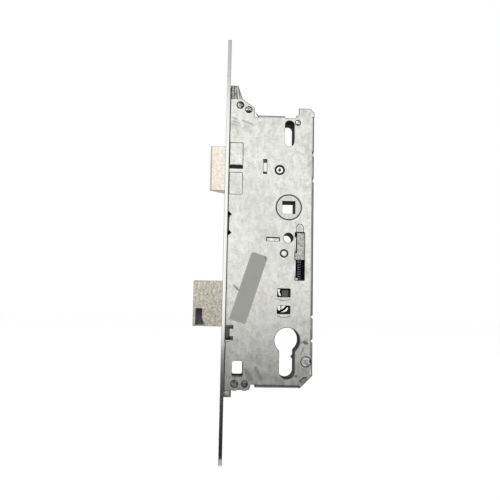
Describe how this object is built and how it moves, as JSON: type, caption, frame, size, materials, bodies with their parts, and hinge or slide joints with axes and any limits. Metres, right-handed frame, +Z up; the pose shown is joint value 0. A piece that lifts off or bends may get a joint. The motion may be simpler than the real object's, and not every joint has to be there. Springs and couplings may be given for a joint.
{
  "type": "overnight lock",
  "caption": "Mortice lock in a riveted sheet case: sprung reversible latch, key-thrown deadbolt, spindle follower with return spring and a cylinder hole.",
  "frame": {"origin": "on the axis of the follower's spindle square, at the middle of the case's thickness", "axes": "+X away from the faceplate into the door, +Y through the door's thickness away from the visible plate, +Z up as installed"},
  "size_m": [0.0825, 0.02, 0.2945],
  "materials": {
    "galvanised_sheet": "zinc-plated sheet, matt with faint spangle",
    "faceplate_steel": "brushed stainless steel",
    "cast_zinc": "die-cast zinc, nickel plated, slightly mottled",
    "bright_steel": "bright zinc-plated steel",
    "spring_wire": "dark oiled spring wire",
    "label_film": "bare grey film label"
  },
  "bodies": {
    "case": {"case_shell": "galvanised_sheet", "cover_plate": "galvanised_sheet", "faceplate": "faceplate_steel", "top_mounting_block": "cast_zinc", "bottom_mounting_block": "cast_zinc", "faceplate_screws": "faceplate_steel", "latch_spring": "spring_wire", "spring_abutment": "bright_steel", "follower_stop": "bright_steel", "return_spring": "spring_wire", "lever_rivet": "bright_steel", "bolt_guide_post": "bright_steel", "tumbler_post": "bright_steel", "tumbler_spring": "spring_wire", "upper_screw_sleeve": "bright_steel", "lower_screw_sleeve": "bright_steel", "spacer_post": "bright_steel", "corner_rivet": "bright_steel", "cover_screw": "bright_steel", "cover_screw_post": "bright_steel", "label": "label_film"},
    "follower": {"follower": "cast_zinc"},
    "latch": {"latch_head": "cast_zinc", "latch_tail": "bright_steel", "latch_pin": "bright_steel"},
    "return_slider": {"return_slider": "cast_zinc"},
    "change_lever": {"change_lever": "bright_steel"},
    "deadbolt": {"bolt_head": "cast_zinc", "bolt_tail": "bright_steel", "bolt_rivets": "bright_steel"},
    "tumbler": {"tumbler": "bright_steel"}
  },
  "joints": [
    {"name": "follower_turn", "type": "hinge", "parent": "case", "child": "follower", "pos_m": [0, 0, 0], "axis": [0, 1, 0], "range_deg": [0, 38], "stiffness_Nm_per_rad": 1, "springref_deg": -17.19},
    {"name": "latch_slide", "type": "slide", "parent": "case", "child": "latch", "axis": [1, 0, 0], "range_m": [0, 0.0105], "deforming": ["latch_spring"]},
    {"name": "return_slide", "type": "slide", "parent": "case", "child": "return_slider", "axis": [0, 0, -1], "range_m": [0, 0.0081], "deforming": ["return_spring"]},
    {"name": "change_lever_turn", "type": "hinge", "parent": "case", "child": "change_lever", "pos_m": [-0.0029, 0, -0.0324], "axis": [0, 1, 0], "range_deg": [0, 11.6]},
    {"name": "deadbolt_slide", "type": "slide", "parent": "case", "child": "deadbolt", "axis": [1, 0, 0], "range_m": [0, 0.02]},
    {"name": "tumbler_lift", "type": "hinge", "parent": "case", "child": "tumbler", "pos_m": [-0.03, 0, -0.0465], "axis": [0, -1, 0], "range_deg": [0, 5], "stiffness_Nm_per_rad": 0.05, "springref_deg": -17.19, "deforming": ["tumbler_spring"]}
  ],
  "couplings": [
    {"joint": "latch_slide", "follows": "follower_turn", "m_per_rad": 0.01583},
    {"joint": "return_slide", "follows": "follower_turn", "m_per_rad": 0.0121},
    {"joint": "change_lever_turn", "follows": "follower_turn", "ratio": 0.30216}
  ]
}
